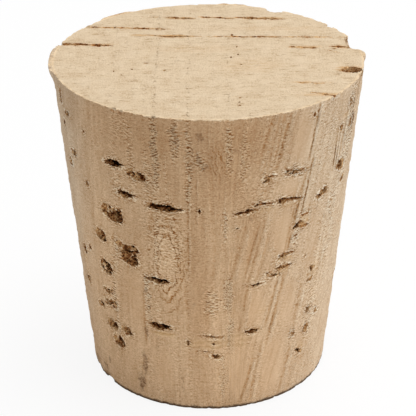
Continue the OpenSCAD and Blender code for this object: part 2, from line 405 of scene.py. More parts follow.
def sanded_cork():
    """Cork as a sanding drum leaves it: streaked by its layers on the sides, and paler and
    plainer on the ends."""
    cork, tree, shader, place = new_finish("sanded_cork")
    x, y, z = parts(tree, place)
    layer = layer_place(tree, x, y, z)

    # Streaks along the layers, from broad to fine, and the grain that sanding leaves.
    ridges = layer_ridges(tree, layer, y, z) - 0.5
    streaks = noise(tree, joined(tree, layer * 1.3, y * 0.2, z * 0.1), 1.7, 3.0, 0.6) - 0.5
    fibres = noise(tree, joined(tree, layer * 2.2, y * 0.9, z * 1.1), 2.0, 2.0, 0.6) - 0.5
    grain = specks(tree, place, 5.0, 1.3)
    hairs = noise(tree, joined(tree, layer * 3.6, y * 0.4, z * 0.25), 1.2, 2.0) - 0.5
    scratches = noise(tree, joined(tree, x * 0.3, y * 0.3, z * 3.2), 1.0, 2.0) - 0.5

    # Places on the side, shaken so that nothing placed by them has an even edge.
    shaking = add(tree, "ShaderNodeTexNoise",
                  {"Vector": place, "Scale": 1.1, "Detail": 3.0, "Roughness": 0.65})
    shaking = add(tree, "ShaderNodeSeparateColor", {"Color": shaking.outputs[1]})
    shake_x, shake_y, shake_z = [Field(tree, out) for out in shaking.outputs]
    azimuth = azimuth_of(x, y) + (shake_x - 0.5) * 6
    level = z + (shake_z - 0.5) * 1.6
    in_front = y.smooth(3, -3)
    behind = 1 - in_front

    def front_spots(ovals):
        return spots(tree, azimuth, level, ovals) * in_front

    to_pore = add(tree, "ShaderNodeAttribute", attribute_name="to_pore").outputs["Fac"]
    at_mouth = Field(tree, to_pore).smooth(0.7, 0.0)

    # Torn cells.
    columns = crumbly_columns(tree, layer, y, z)
    torn = front_spots(TORN_SPOTS)
    crumbly = torn + columns * (behind * 0.65 + 0.2) + at_mouth * 0.35 + 0.04
    rough = 1 - front_spots(PLAIN_SPOTS)
    cells = specks(tree, joined(tree, layer * 0.9, y, z), 3.2, 1.9)

    # Creases between layers. Their valleys are painted darker and their ridges paler, partly the
    # layers' own colour and partly painted shade and highlight.
    folds = creased(tree, x + (shake_x - 0.5) * 0.3, z, level)
    broken = noise(tree, joined(tree, layer * 0.8, y * 0.3, z * 0.5), 1.0, 3.0).smooth(0.3, 0.55)
    folds = folds.least(0.7) * in_front * (broken * 0.6 + 0.4) * (cells * 2.4 + grain + 1)

    # Rows of dots where one streak meets another, mostly where the layers lean.
    rows = streaks.size().smooth(0.05, 0) * (x.smooth(3, 6) * 0.8 + 0.2)

    # Closed curves. Those in front lie round one another.
    rings = out_of_oval(tree, joined(tree, azimuth, level, 0), *CURVED_SPOTS[0][:4])
    swirl = noise(tree, joined(tree, layer * 0.32, y * 0.3, z * 0.12), 1.0, 2.0) * 28
    swirl = swirl + (layer * 8 - rings * 34) * behind + rings * 34
    curve_patch = noise(tree, joined(tree, x * 0.12, y * 0.12, z * 0.1), 1.0, 1.0)
    curve_patch = curve_patch.smooth(0.52, 0.6) * behind * 0.7
    in_rings = spots(tree, azimuth, level, CURVED_SPOTS) * rings.smooth(0.2, 0.5)
    curve_patch = curve_patch + in_rings * in_front
    curves = swirl.sine().smooth(0.4, 1) * curve_patch * (cells * 2 + 1)

    # Tissue that was sanded flush, with wavy lines along it.
    flush = front_spots(OCHRE_SPOTS)
    scar_lines = (z * 9 + (shake_y - 0.5) * 10).sine() * flush

    # A thin painted highlight runs along parts of each mouth, as if its lip caught the light.
    lip = (grain * 1.5 + (shake_x - 0.53) * 4).most(0).least(0.5)
    lip = Field(tree, to_pore).smooth(0.36, 0.1) * lip

    # Torn cells stand up as pale scraps, and each has a painted shadow below it, as if lit from
    # above.
    scraps = specks(tree, joined(tree, layer * 0.75, y * 0.8, z), 3.4, 1.7)
    shadows_below = specks(tree, joined(tree, layer * 0.75, y * 0.8, z + 0.15), 3.4, 1.7)
    scraps = scraps * 1.65 - shadows_below * 1.0
    torn_grain = (scraps + grain * 0.5 + 0.18) * (crumbly + rows * 0.35) * rough

    # All of it makes the sides' tone and height, and then the tints go over the tone.
    hairs = hairs * (cells * 2 + 1) * (x.smooth(1, 8) * 0.5 + ridges * 1.5 + 0.5)
    fine = fibres * 0.2 + hairs * 0.28 + grain * 0.26 + scratches * 0.14
    side_tone = (ridges * 0.24 + streaks * 0.26 + fine * rough + torn_grain + folds * 0.17
                 - curves * 0.33 + scar_lines * 0.16 + lip - at_mouth * 0.08 + 0.51)
    side_height = (streaks * 0.1 + fine * rough * 0.3 + torn_grain * 0.14 + folds * 0.05
                   - curves * 0.06)
    side = toned(tree, side_tone, SIDE_TONES)
    brown = noise(tree, joined(tree, x * 0.16, y * 0.16, z * 0.09), 1.0, 2.0).smooth(0.45, 0.65)
    warm = front_spots(WARM_SPOTS)
    pale = front_spots(PALE_SPOTS)
    side = drifted(tree, side, brown * 0.5 + warm, BROWN_DRIFT)
    side = drifted(tree, side, pale, PALE_DRIFT)
    side = drifted(tree, side, torn, TORN_DRIFT)
    # Both flanks are paled and greyed, partly their own colour and partly painted sheen.
    side = drifted(tree, side, x.smooth(2, 15).most(x.smooth(-12, -16)), GREY_AND_SHEEN_DRIFT)
    # Painted bounce light: the side is painted paler towards the bottom, where light from the
    # floor would fall.
    side = scaled(tree, side, 1.08 - z.smooth(6, HEIGHT) * 0.12)
    brown_spots = front_spots(BROWN_SPOTS)
    side = tinted(tree, (flush * (cells * 0.6 + 0.45)).most(0), side, linear(STAIN_OCHRE))
    side = tinted(tree, (brown_spots * (0.5 - cells)).most(0).least(0.9), side,
                  linear(STAIN_BROWN))

    # The ends: faint mottling and streaks along X, with dotted lines where the crumbly
    # layers come out and pale brown lenses along the cracks.
    mottle = noise(tree, place, 0.5, 3.0, 0.6) - 0.5
    threads = noise(tree, joined(tree, x * 0.55, y * 2.6, z), 1.0, 3.0, 0.6) - 0.5
    dashes = noise(tree, joined(tree, x * 0.8, y * 3.6, z), 1.0, 2.0).smooth(0.6, 0.72)
    dots = (cells * columns).smooth(-0.12, -0.4)
    lenses = spots(tree, x + (shake_x - 0.5) * 2, y + (shake_y - 0.5) * 0.7, TOP_STAINS)
    lenses = lenses * z.smooth(HEIGHT - 2, HEIGHT - 1)
    end_tone = (mottle * 0.5 + threads * 0.5 + streaks * 0.1 + grain * 0.34 - dashes * 0.2
                - dots * 0.25 - at_mouth * 0.05 + 0.54)
    end_height = mottle * 0.08 + threads * 0.08 + grain * 0.06 - dots * 0.1 - dashes * 0.05
    end = toned(tree, end_tone, END_TONES)
    lens_share = (lenses * (0.6 - threads * 2 - cells * 0.5)).most(0).least(0.9)
    end = tinted(tree, lens_share, end, linear(LENS_OCHRE))

    # The ends' colour stops halfway round their worn edges, and the bottom edge is painted dark as
    # a contact shadow where it meets the floor.
    inset = (radius_at(z) - (x * x + y * y).root()).most(-0.05).least(0.4)
    uneven = (shake_y - 0.5) * 0.8 + grain * 0.2
    on_end = inset - z.least(HEIGHT - z) + uneven * inset.smooth(0.4, 0.2) + 0.05
    on_end = on_end.smooth(-0.06, 0.06)
    # A painted highlight pales the top's worn edge.
    edge_highlight = (inset + z.least(HEIGHT - z)).smooth(0.35, 0.1) * on_end
    contact_shade = (z + (shake_y - 0.5) * 0.5 + grain * 0.1).smooth(0.55, 0.2) * 0.9
    end = drifted(tree, end, edge_highlight * z.smooth(HEIGHT - 2, HEIGHT - 1), EDGE_HIGHLIGHT)
    colour = tinted(tree, on_end, side, end)
    colour = tinted(tree, contact_shade * z.smooth(0.02, 0.05), colour, linear(CONTACT_SHADE))

    feed_all(tree, shader, {
        "Base Color": colour, "Roughness": ridges * 0.2 + 0.85, "Specular IOR Level": 0.05,
        "Sheen Weight": 0.05, "Sheen Roughness": 0.6, "Sheen Tint": (1.0, 0.8, 0.6, 1)})
    height = side_height + (end_height - side_height) * on_end
    bumped(tree, height, shader)
    return cork


SANDED_CORK = sanded_cork()


def new_tree(name, sizes, counts=()):
    """A Geometry Nodes tree with a geometry in and out and named sizes and counts. Gives
    it, what it is given as Fields by name, and its end."""
    tree = bpy.data.node_groups.new(name, "GeometryNodeTree")
    new_sockets(tree, "INPUT", "Geometry", "Geometry")
    new_sockets(tree, "OUTPUT", "Geometry", "Geometry")
    new_sockets(tree, "INPUT", "Float", *sizes)
    new_sockets(tree, "INPUT", "Int", *counts)
    entry = tree.nodes.new("NodeGroupInput")
    given = {out.name: Field(tree, out) for out in entry.outputs if out.name}
    return tree, given, tree.nodes.new("NodeGroupOutput")


def ended(tree, result, geometry, material):
    """Ends a tree in real geometry of one material."""
    real = add(tree, "GeometryNodeRealizeInstances", {"Geometry": geometry})
    coloured = add(tree, "GeometryNodeSetMaterial",
                   {"Geometry": real.outputs[0], "Material": material})
    feed(tree, result.inputs[0], coloured.outputs[0])


def position(tree):
    """Where each point of the geometry lies."""
    return tree.nodes.new("GeometryNodeInputPosition").outputs[0]


def moved(tree, geometry, offset):
    return add(tree, "GeometryNodeSetPosition",
               {"Geometry": geometry, "Offset": offset}).outputs[0]


def new_object(name, data):
    made = bpy.data.objects.new(name, data)
    bpy.context.collection.objects.link(made)
    return made


def settled(holder, name):
    """The plain mesh that an object's modifiers make, as a new object of that name."""
    graph = bpy.context.evaluated_depsgraph_get()
    mesh = bpy.data.meshes.new_from_object(holder.evaluated_get(graph))
    bpy.data.objects.remove(holder)
    if mesh.materials[0] is None:
        mesh.materials.pop(index=0)
    return new_object(name, mesh)


def grown(name, start, tree, values):
    """The plain mesh that a tree makes from a starting mesh, as an object of that name."""
    holder = new_object(name + "_maker", start)
    maker = holder.modifiers.new("maker", "NODES")
    maker.node_group = tree
    for socket in tree.interface.items_tree:
        if socket.in_out == "INPUT" and socket.name in values:
            maker[socket.identifier] = values[socket.name]
    return settled(holder, name)


def blank_tree():
    """A cube whose faces are drawn out to a tapered plug with worn edges."""
    tree, size, result = new_tree(
        "cork_blank", ["Top Radius", "Bottom Radius", "Height", "Edge Wear", "Relief"],
        ["Steps Across", "Steps Up"])
    cube = add(tree, "GeometryNodeMeshCube",
               {"Size": (2, 2, 2), "Vertices X": size["Steps Across"],
                "Vertices Y": size["Steps Across"], "Vertices Z": size["Steps Up"]})

    # The square is drawn out to a disc, evenly round its edge.
    x, y, z = parts(tree, position(tree))
    across = (x * (math.pi / 4)).sine() * math.sqrt(2)
    along = (y * (math.pi / 4)).sine() * math.sqrt(2)
    disc_x = across * (1 - along * along / 2).root()
    disc_y = along * (1 - across * across / 2).root()
    up = (z + 1) / 2 * size["Height"]
    radius = (size["Bottom Radius"]
              + (size["Top Radius"] - size["Bottom Radius"]) * up / size["Height"])

    # Both edges are worn round: a point near an edge moves onto an arc.
    reach = (disc_x * disc_x + disc_y * disc_y).root()
    from_side = radius * (1 - reach)
    from_end = up.least(size["Height"] - up)
    crumble = noise(tree, joined(tree, disc_x * 17, disc_y * 17, up), 0.9, 3.0)
    wear = size["Edge Wear"] * (crumble.smooth(0.5, 0.68) * 0.8 + 0.2)
    side_gap = (wear - from_side).most(0)
    end_gap = (wear - from_end).most(0)
    onto_arc = wear / (side_gap * side_gap + end_gap * end_gap).root().most(wear)
    side_in = side_gap * (1 - onto_arc)
    end_in = end_gap * (1 - onto_arc)

    # Lips stand out from the top edge.
    azimuth = azimuth_of(disc_x, disc_y)
    near_rim = up.smooth(HEIGHT - LIP_DROP, HEIGHT - 0.2) * reach.smooth(0.9, 1.0)
    lip = reach * 0
    for middle, spread, height in RIM_LIPS:
        lip = lip + (azimuth - middle).size().smooth(spread, spread * 0.55) * height
    new_reach = reach + (lip * near_rim - side_in) / radius
    grow = radius * new_reach / reach.most(0.0001)
    is_low = (HEIGHT / 2 - up).smooth(-0.01, 0.01)
    new_up = up + end_in * (is_low * 2 - 1)
    shaped = add(tree, "GeometryNodeSetPosition",
                 {"Geometry": cube.outputs[0],
                  "Position": joined(tree, disc_x * grow, disc_y * grow, new_up)})

    # Growth layers stand up and down the sides as low ridges, and sanding leaves a grain.
    x, y, z = parts(tree, position(tree))
    ridges = layer_ridges(tree, layer_place(tree, x, y, z), y, z)
    grain = noise(tree, joined(tree, x, y, z), 1.6, 4.0, 0.6)
    on_side = z.smooth(0, 0.6) * z.smooth(HEIGHT, HEIGHT - 0.6)
    ragged = noise(tree, joined(tree, x * 0.3, y * 0.3, z * 0.45), 1.0, 3.0, 0.65) - 0.5
    ragged = ragged * on_side * x.size().smooth(10, 15)
    lift = (ridges - 0.5) * (0.12 + on_side * 0.4) + (grain - 0.5) * 0.35 + ragged * 0.9
    normal = tree.nodes.new("GeometryNodeInputNormal").outputs[0]
    rough = moved(tree, shaped.outputs[0], scaled(tree, normal, lift * size["Relief"]))
    ended(tree, result, rough, SANDED_CORK)
    return tree


blank = grown(
    "blank",
    bpy.data.meshes.new("start"),
    blank_tree(),
    {"Top Radius": TOP_RADIUS, "Bottom Radius": BOTTOM_RADIUS, "Height": HEIGHT,
     "Edge Wear": 0.32, "Relief": 0.5, "Steps Across": STEPS_ACROSS + 1,
     "Steps Up": STEPS_UP + 1},
)


# ---- Pits and slits -----------------------------------------------------------------
# Lenticels, the bark's own breathing pores. They run along X through the cork, so they
# open as ragged pits in the two flanks and as slits in the front and back. Each is a
# lump of space that is cut out of the blank, with a rough wall of brown, crumbly tissue.

# Azimuth from the front, height, then length round the side, height and depth, in mm.
# A last number turns the mouth, in degrees, right end up.
LEFT_PITS = [
    (-34.8, 20.5, 2.2, 1.7, 2.0, 0), (-33.9, 19.3, 1.6, 1.5, 1.4, -20),
    (-40.8, 24.8, 2.5, 1.8, 1.9, -4), (-38.8, 24.2, 1.3, 1.3, 1.3, 0),
    (-49, 21.0, 1.5, 1.5, 1.6, -10), (-48.5, 16.9, 1.8, 1.9, 1.7, -15),
    (-48.5, 13.6, 1.7, 0.8, 1.1, 5), (-48, 12.0, 1.9, 1.1, 1.5, 5),
    (-55.5, 11.0, 1.3, 0.9, 1.0, 15), (-48.6, 9.0, 1.5, 1.3, 1.3, -10),
    (-39.2, 9.1, 1.05, 1.2, 1.4, 20), (-45.2, 7.0, 1.5, 1.5, 1.1, 25),
    (-27.5, 30.5, 1.9, 1.1, 1.1, -18), (-63, 29.8, 1.2, 0.9, 0.9, 20),
    (-67.5, 28.2, 0.9, 1.1, 0.9, 0), (-64, 34.5, 1.2, 0.6, 0.7, 10),
    (-69.5, 32.8, 0.8, 0.9, 0.8, 0), (-68.5, 36.2, 0.6, 2.2, 0.6, 0),
    (-66, 17.0, 1.0, 1.1, 0.8, 0), (-66, 13.0, 0.9, 0.9, 0.7, 0),
    (-60, 18.0, 0.6, 0.6, 0.6, 0), (-54.5, 26.9, 0.6, 0.7, 0.5, 30),
    (-82, 22.8, 2.1, 1.6, 1.8, 10), (-88, 13.7, 1.6, 1.7, 1.6, 0),
    (-97, 29.3, 1.8, 1.1, 1.4, -15), (-104, 8.0, 1.9, 1.4, 1.6, 10),
    (-112, 19.8, 2.5, 2.0, 2.1, 0), (-118, 25.1, 1.3, 1.0, 1.1, 20),
    (-129, 12.5, 1.8, 1.3, 1.5, -10), (-134, 30.8, 1.6, 0.8, 1.1, 0)]
RIGHT_PITS = [
    (49.3, 26.3, 1.9, 1.0, 0.8, 15), (61, 28.5, 2.0, 1.3, 1.0, -20),
    (65, 26.3, 0.9, 1.1, 0.9, -30), (47.8, 15.2, 1.0, 0.5, 0.7, 15),
    (48.3, 16.5, 0.6, 0.9, 0.6, 0), (48.8, 10.9, 0.7, 0.8, 0.6, -20),
    (49, 8.3, 0.9, 1.1, 0.7, -20), (56, 10.0, 0.6, 0.8, 0.7, -20),
    (40, 8.6, 0.7, 0.3, 0.3, -35), (45.5, 5.5, 1.3, 0.5, 0.7, -35),
    (66.5, 33, 0.8, 1.0, 0.7, 0), (64, 35.7, 0.7, 0.9, 0.6, 0),
    (58, 33.3, 0.6, 0.7, 0.5, 0), (71, 33, 0.7, 0.8, 0.6, 0),
    (78, 11.8, 1.8, 1.8, 1.8, 0), (84, 21.7, 2.2, 1.6, 1.9, 10),
    (93, 31.2, 1.3, 0.9, 1.1, 0), (101, 16.3, 2.3, 2.1, 2.1, -10),
    (110, 6.5, 1.6, 1.3, 1.4, 0), (118, 23.9, 1.8, 1.2, 1.4, 15),
    (131, 18.2, 1.6, 1.0, 1.3, 0), (137, 28.1, 2.1, 0.9, 1.3, -5)]
SLITS = [
    (-37.2, 31.25, 2.3, 1.0, 1.7, 8), (-33.1, 27.75, 1.8, 0.9, 1.6, -4),
    (22, 30.15, 0.7, 0.8, 1.4, 0), (31, 30.7, 0.7, 0.4, 1.1, -30),
    (33, 30.4, 1.1, 0.5, 1.5, -15), (36.2, 30.35, 0.8, 0.35, 1.0, -25),
    (18.6, 27.3, 0.7, 0.45, 0.6, 0), (37.8, 23.4, 1.0, 0.9, 1.7, 35),
    (30.7, 19.85, 1.0, 0.6, 1.5, 25), (30.7, 18.5, 1.1, 0.4, 1.0, 10),
    (28, 17.7, 1.0, 0.35, 0.4, -20), (19.3, 16.9, 1.3, 0.35, 0.5, 0),
    (19.2, 10.6, 1.3, 0.6, 1.0, 0),
    (-16.3, 27.0, 3.4, 0.85, 2.0, -5), (-21, 17.45, 2.7, 0.65, 1.5, -3),
    (-21.7, 11.2, 2.5, 0.95, 1.7, -3), (29.3, 27.1, 1.0, 0.7, 1.0, 0),
    (3.2, 7.6, 1.0, 0.6, 0.5, -20), (24.3, 18.1, 0.5, 0.3, 0.4, 0),
    (152, 9.5, 3.2, 0.6, 1.2, 0), (158, 33.1, 2.7, 0.45, 1.0, 4),
    (166, 22.8, 4.6, 0.8, 1.4, -3), (177, 15.2, 2.3, 0.5, 1.0, 0),
    (188, 28.9, 3.7, 0.6, 1.2, 3), (194, 6.1, 2.7, 0.5, 1.0, -4),
    (203, 19.0, 4.1, 0.7, 1.3, 0), (211, 11.0, 2.3, 0.45, 1.0, 3)]

# How far a pore drifts round the side with depth: this share of what would keep it along
# X, up to a most. It doesn't drift where it is shallow, and drifts fully from DEEP, in mm.
DRIFT, MOST_DRIFT = 0.85, 1.1
SHALLOW, DEEP = 0.4, 0.9
# Keeps each pore in its own part of the noise.
SEED_STEP = 7.3

# Tones of the tissue from the mouth (0) to where it is darkest (1). That is this many mm down, or
# less in slits, which stay open and are painted dark sooner. The darkening is partly the tissue's
# own brown and partly painted shade of the hollow.
TISSUE_TONES = [(0.0, (228, 190, 140)), (0.25, (206, 154, 98)), (0.5, (162, 104, 58)),
                (0.75, (106, 60, 28)), (1.0, (48, 24, 9))]
PIT_DARKEST, SLIT_DARKEST = 2.0, 0.9


def pore_tissue(name, darkest_depth):
    """The crumbly brown lining of the pores, darker with depth, partly its own brown and partly
    painted shade, with paler flakes.
    """
    tissue, tree, shader, place = new_finish(name)
    x, y, z = parts(tree, place)
    from_side = radius_at(z) - (x * x + y * y).root()
    depth = from_side.least(z).least(HEIGHT - z)
    flakes = specks(tree, place, 2.2, 1.4)
    crumbs = specks(tree, place, 4.5, 1.0)
    tone = depth / darkest_depth + 0.08 - flakes * 1.1 - crumbs * 0.9 - x.smooth(5, 9) * 0.1
    feed_all(tree, shader, {"Base Color": toned(tree, tone, TISSUE_TONES),
                            "Roughness": 0.95, "Specular IOR Level": 0.05})
    bumped(tree, flakes * 0.25 + crumbs * 0.1, shader)
    return tissue


PIT_TISSUE = pore_tissue("pit_tissue", PIT_DARKEST)
SLIT_TISSUE = pore_tissue("slit_tissue", SLIT_DARKEST)


def around(azimuth):
    """Unit vectors round the side and out of it, at an azimuth from the front."""
    angle = math.radians(azimuth)
    return (Vector((math.cos(angle), math.sin(angle), 0)),
            Vector((math.sin(angle), -math.cos(angle), 0)))


def on_side(azimuth, z):
    return around(azimuth)[1] * radius_at(z) + Vector((0, 0, z))


def side_pore(azimuth, z, length, height, depth, turned=0.0):
    """Where a pore opens in the side, how it is turned and its half sizes. A deep one
    drifts towards the front or back, because pores run along X."""
    along, out = around(azimuth)
    angle = math.radians(azimuth)
    drift = max(-MOST_DRIFT, min(MOST_DRIFT, DRIFT * math.cos(angle) / math.sin(angle)))
    drift *= max(0.0, min(1.0, (depth - SHALLOW) / (DEEP - SHALLOW)))
    inward = (-along * drift - out).normalized()
    up = Vector((0, 0, 1))
    up = (up - inward * up.dot(inward)).normalized()
    turn = (Matrix((up.cross(inward), up, inward)).transposed()
            @ Matrix.Rotation(math.radians(-turned), 3, "Z"))
    return on_side(azimuth, z), turn, (length / 2, height / 2, depth)


def mark(mesh, title, numbers):
    """Gives each corner of a mesh its own number."""
    mesh.attributes.new(title, "FLOAT", "POINT").data.foreach_set("value", numbers)


def mark_vectors(mesh, title, vectors):
    """Gives each corner of a mesh its own vector."""
    mesh.attributes.new(title, "FLOAT_VECTOR", "POINT").data.foreach_set(
        "vector", [number for vector in vectors for number in vector])


def pore_points(name, pores):
    """A mesh of one point for each pore, with its turn and half sizes as attributes."""
    mesh = bpy.data.meshes.new(name)
    places, turns, halves = zip(*pores)
    mesh.from_pydata(places, [], [])
    mark_vectors(mesh, "turn", [turn.to_euler() for turn in turns])
    mark_vectors(mesh, "half", halves)
    mark_vectors(mesh, "middle", places)
    mark(mesh, "seed", [number * SEED_STEP for number in range(len(pores))])
    return mesh


def named(tree, title, kind):
    return add(tree, "GeometryNodeInputNamedAttribute", {"Name": title},
               data_type=kind).outputs[0]


def vector_sum(tree, one, other):
    return add(tree, "ShaderNodeVectorMath", {0: one, 1: other}, operation="ADD").outputs[0]


def shaken(tree, vector, scale, detail=3.0):
    """A noise vector around zero."""
    made = add(tree, "ShaderNodeTexNoise",
               {"Vector": vector, "Scale": scale, "Detail": detail, "Roughness": 0.6})
    return vector_sum(tree, made.outputs[1], (-0.5, -0.5, -0.5))


def pores_tree(name, material):
    """A rough ball on each point, turned and drawn out to the pore's size. Point draws its
    two ends thin."""
    tree, size, result = new_tree(
        name, ["Raggedness", "Point", "Crumbs", "Crumb Size"], ["Fineness"])
    ball = add(tree, "GeometryNodeMeshIcoSphere", {"Subdivisions": size["Fineness"]})
    ball_x, ball_y, ball_z = parts(tree, position(tree))
    thin = 1 - ball_x * ball_x * size["Point"]
    pointed = add(tree, "GeometryNodeSetPosition",
                  {"Geometry": ball.outputs[0],
                   "Position": joined(tree, ball_x, ball_y * thin, ball_z)})
    marked = add(tree, "GeometryNodeStoreNamedAttribute",
                 {"Geometry": pointed.outputs[0], "Name": "on_ball",
                  "Value": position(tree)},
                 data_type="FLOAT_VECTOR", domain="POINT")
    turn = add(tree, "FunctionNodeEulerToRotation", {"Euler": named(tree, "turn", "FLOAT_VECTOR")})
    placed = add(tree, "GeometryNodeInstanceOnPoints",
                 {"Points": size["Geometry"], "Instance": marked.outputs[0],
                  "Rotation": turn.outputs[0], "Scale": named(tree, "half", "FLOAT_VECTOR")})
    real = add(tree, "GeometryNodeRealizeInstances", {"Geometry": placed.outputs[0]})

    # Each ball swells and shrinks in its own way, then its wall crumbles.
    here = position(tree)
    seed = Field(tree, named(tree, "seed", "FLOAT"))
    ball_x, ball_y, ball_z = parts(tree, named(tree, "on_ball", "FLOAT_VECTOR"))
    own = joined(tree, ball_x + seed, ball_y + seed * 1.7, ball_z)
    swell = (noise(tree, own, 1.3, 3.0, 0.65) - 0.5) * size["Raggedness"]
    middle = scaled(tree, named(tree, "middle", "FLOAT_VECTOR"), -1.0)
    swollen = scaled(tree, vector_sum(tree, here, middle), swell)
    crumbs = scaled(tree, shaken(tree, here, size["Crumb Size"]), size["Crumbs"])
    ended(tree, result, moved(tree, real.outputs[0], vector_sum(tree, swollen, crumbs)), material)
    return tree


def random_share(tree, low, high, seed, kind="FLOAT"):
    """A random number or vector for each point."""
    lowest, highest, out = (0, 1, 0) if kind == "FLOAT_VECTOR" else (2, 3, 1)
    return add(tree, "FunctionNodeRandomValue", {"Seed": seed, lowest: low, highest: high},
               data_type=kind).outputs[out]


def pits_tree(name, material):
    """A heap of burst lumps in each point's egg-shaped pit, merged into one rough hollow."""
    tree, size, result = new_tree(
        name, ["Lump Share", "Smallest Lump", "Largest Lump", "Held Tissue", "Voxel", "Crumbs",
               "Crumb Size"], ["Lumps"])
    heap = add(tree, "GeometryNodePoints", {"Count": size["Lumps"]})
    placed = add(tree, "GeometryNodeInstanceOnPoints",
                 {"Points": size["Geometry"], "Instance": heap.outputs[0]})
    lumps = add(tree, "GeometryNodeRealizeInstances", {"Geometry": placed.outputs[0]})

    # Each lump has its own place in a cube of half size 1 with rounded corners.
    in_cube = random_share(tree, (-1, -1, -1), (1, 1, 1), 3, "FLOAT_VECTOR")
    drawn_in = (length(tree, in_cube) / 1.15).most(1)
    half_x, half_y, half_z = parts(tree, named(tree, "half", "FLOAT_VECTOR"))
    radius = (half_x.least(half_y) * size["Lump Share"]
              * random_share(tree, 0.7, 1.15, 8))
    radius = radius.most(size["Smallest Lump"]).least(size["Largest Lump"])
    cube_x, cube_y, cube_z = parts(tree, in_cube)
    inner = joined(tree, cube_x / drawn_in * (half_x - radius * 0.6),
                   cube_y / drawn_in * (half_y - radius * 0.6),
                   cube_z / drawn_in * (half_z - radius * 0.6))
    turn = add(tree, "FunctionNodeEulerToRotation", {"Euler": named(tree, "turn", "FLOAT_VECTOR")})
    turned = add(tree, "FunctionNodeRotateVector",
                 {"Vector": inner, "Rotation": turn.outputs[0]})
    spread = add(tree, "GeometryNodeSetPosition",
                 {"Geometry": lumps.outputs[0],
                  "Position": vector_sum(tree, named(tree, "middle", "FLOAT_VECTOR"),
                                         turned.outputs[0])})

    # Where the tissue has held, no lump has burst.
    there = position(tree)
    held = size["Held Tissue"]
    burst = noise(tree, there, 2.3, 3.0, 0.65).smooth(held, held + 0.1)
    volume = add(tree, "GeometryNodePointsToVolume",
                 {"Points": spread.outputs[0], "Voxel Size": size["Voxel"],
                  "Radius": radius * burst},
                 resolution_mode="VOXEL_SIZE")
    merged = add(tree, "GeometryNodeVolumeToMesh",
                 {"Volume": volume.outputs[0], "Voxel Size": size["Voxel"]},
                 resolution_mode="VOXEL_SIZE")
    here = position(tree)
    crumbs = scaled(tree, shaken(tree, here, size["Crumb Size"]), size["Crumbs"])
    ended(tree, result, moved(tree, merged.outputs[0], crumbs), material)
    return tree


pits = grown(
    "pits",
    pore_points("pit_points", [side_pore(*pit) for pit in LEFT_PITS + RIGHT_PITS]),
    pits_tree("pits", PIT_TISSUE),
    {"Lumps": 360, "Lump Share": 0.34, "Smallest Lump": 0.12, "Largest Lump": 0.26,
     "Held Tissue": 0.39, "Voxel": 0.085, "Crumbs": 0.5, "Crumb Size": 3.4},
)
tissue_pores = pores_tree("tissue_pores", SLIT_TISSUE)
slits = grown(
    "slits",
    pore_points("slit_points", [side_pore(*slit) for slit in SLITS]),
    tissue_pores,
    {"Raggedness": 1.9, "Point": 0.6, "Crumbs": 0.9, "Crumb Size": 3.2, "Fineness": 5},
)


# ---- Pinholes -----------------------------------------------------------------------
# The smallest pores, no wider than a pin's point, scattered over the top and over the
# parts of the side that the larger pores leave free, and a few scraped hollows.

# Place across and along the top, then the length and width of the mouth, in mm.
TOP_PINHOLES = [
    (-6.9, -1.8, 0.6, 0.2), (-8.4, -3.6, 0.3, 0.35), (-10.4, -4.1, 0.2, 0.35),
    (-9.5, -5.2, 0.3, 0.2), (2.6, -0.1, 0.25, 0.5), (3.4, 0.8, 0.25, 0.35),
    (3.3, 3.2, 0.2, 0.5), (2.8, 6.9, 0.3, 0.6), (3.7, -2.2, 0.35, 0.25),
    (-4.8, -3.9, 0.25, 0.5), (3.4, -11.7, 0.3, 0.3), (3.3, -12.8, 0.25, 0.3),
    (3.3, -13.7, 0.35, 0.3), (14.4, 2.5, 0.5, 0.4), (14.9, 3.3, 0.5, 0.3)]
PINHOLE_DEPTH = 0.4
# Azimuth and height, then length, height and depth. The last four are scraped hollows.
SIDE_PINHOLES = [
    (-3.4, 26.9, 0.3, 0.65, 0.5), (-9.2, 9.4, 0.3, 0.8, 0.5), (2, 9.35, 0.35, 0.25, 0.5),
    (40.2, 36.8, 0.3, 0.6, 0.5), (43, 18.8, 0.5, 0.2, 0.5), (-52, 33.6, 0.4, 0.3, 0.5),
    (36.6, 22.1, 0.6, 0.3, 0.5), (11, 24.6, 0.3, 0.2, 0.5), (40.2, 24.5, 1.3, 0.3, 0.3),
    (40.6, 23.0, 1.5, 0.35, 0.3), (32.6, 20.05, 2.2, 0.4, 0.4), (31.6, 18.5, 2.0, 0.4, 0.4)]


def top_hole(x, y, length, width, depth=PINHOLE_DEPTH):
    """Where a pore opens in the top, how it is turned and its half sizes."""
    return Vector((x, y, HEIGHT)), Matrix.Rotation(math.pi, 3, "X"), (length / 2, width / 2, depth)


pinholes = grown(
    "pinholes",
    pore_points("pinhole_points",
                [top_hole(*hole) for hole in TOP_PINHOLES]
                + [side_pore(*hole) for hole in SIDE_PINHOLES]),
    tissue_pores,
    {"Raggedness": 0.8, "Point": 0.3, "Crumbs": 0.08, "Crumb Size": 4.0, "Fineness": 4},
)


# ---- Cracks -------------------------------------------------------------------------
# The same pores where they are cut lengthwise: long, thin cracks that run along X over
# both ends and round the front. They pinch in and out, and some break out of the edge.

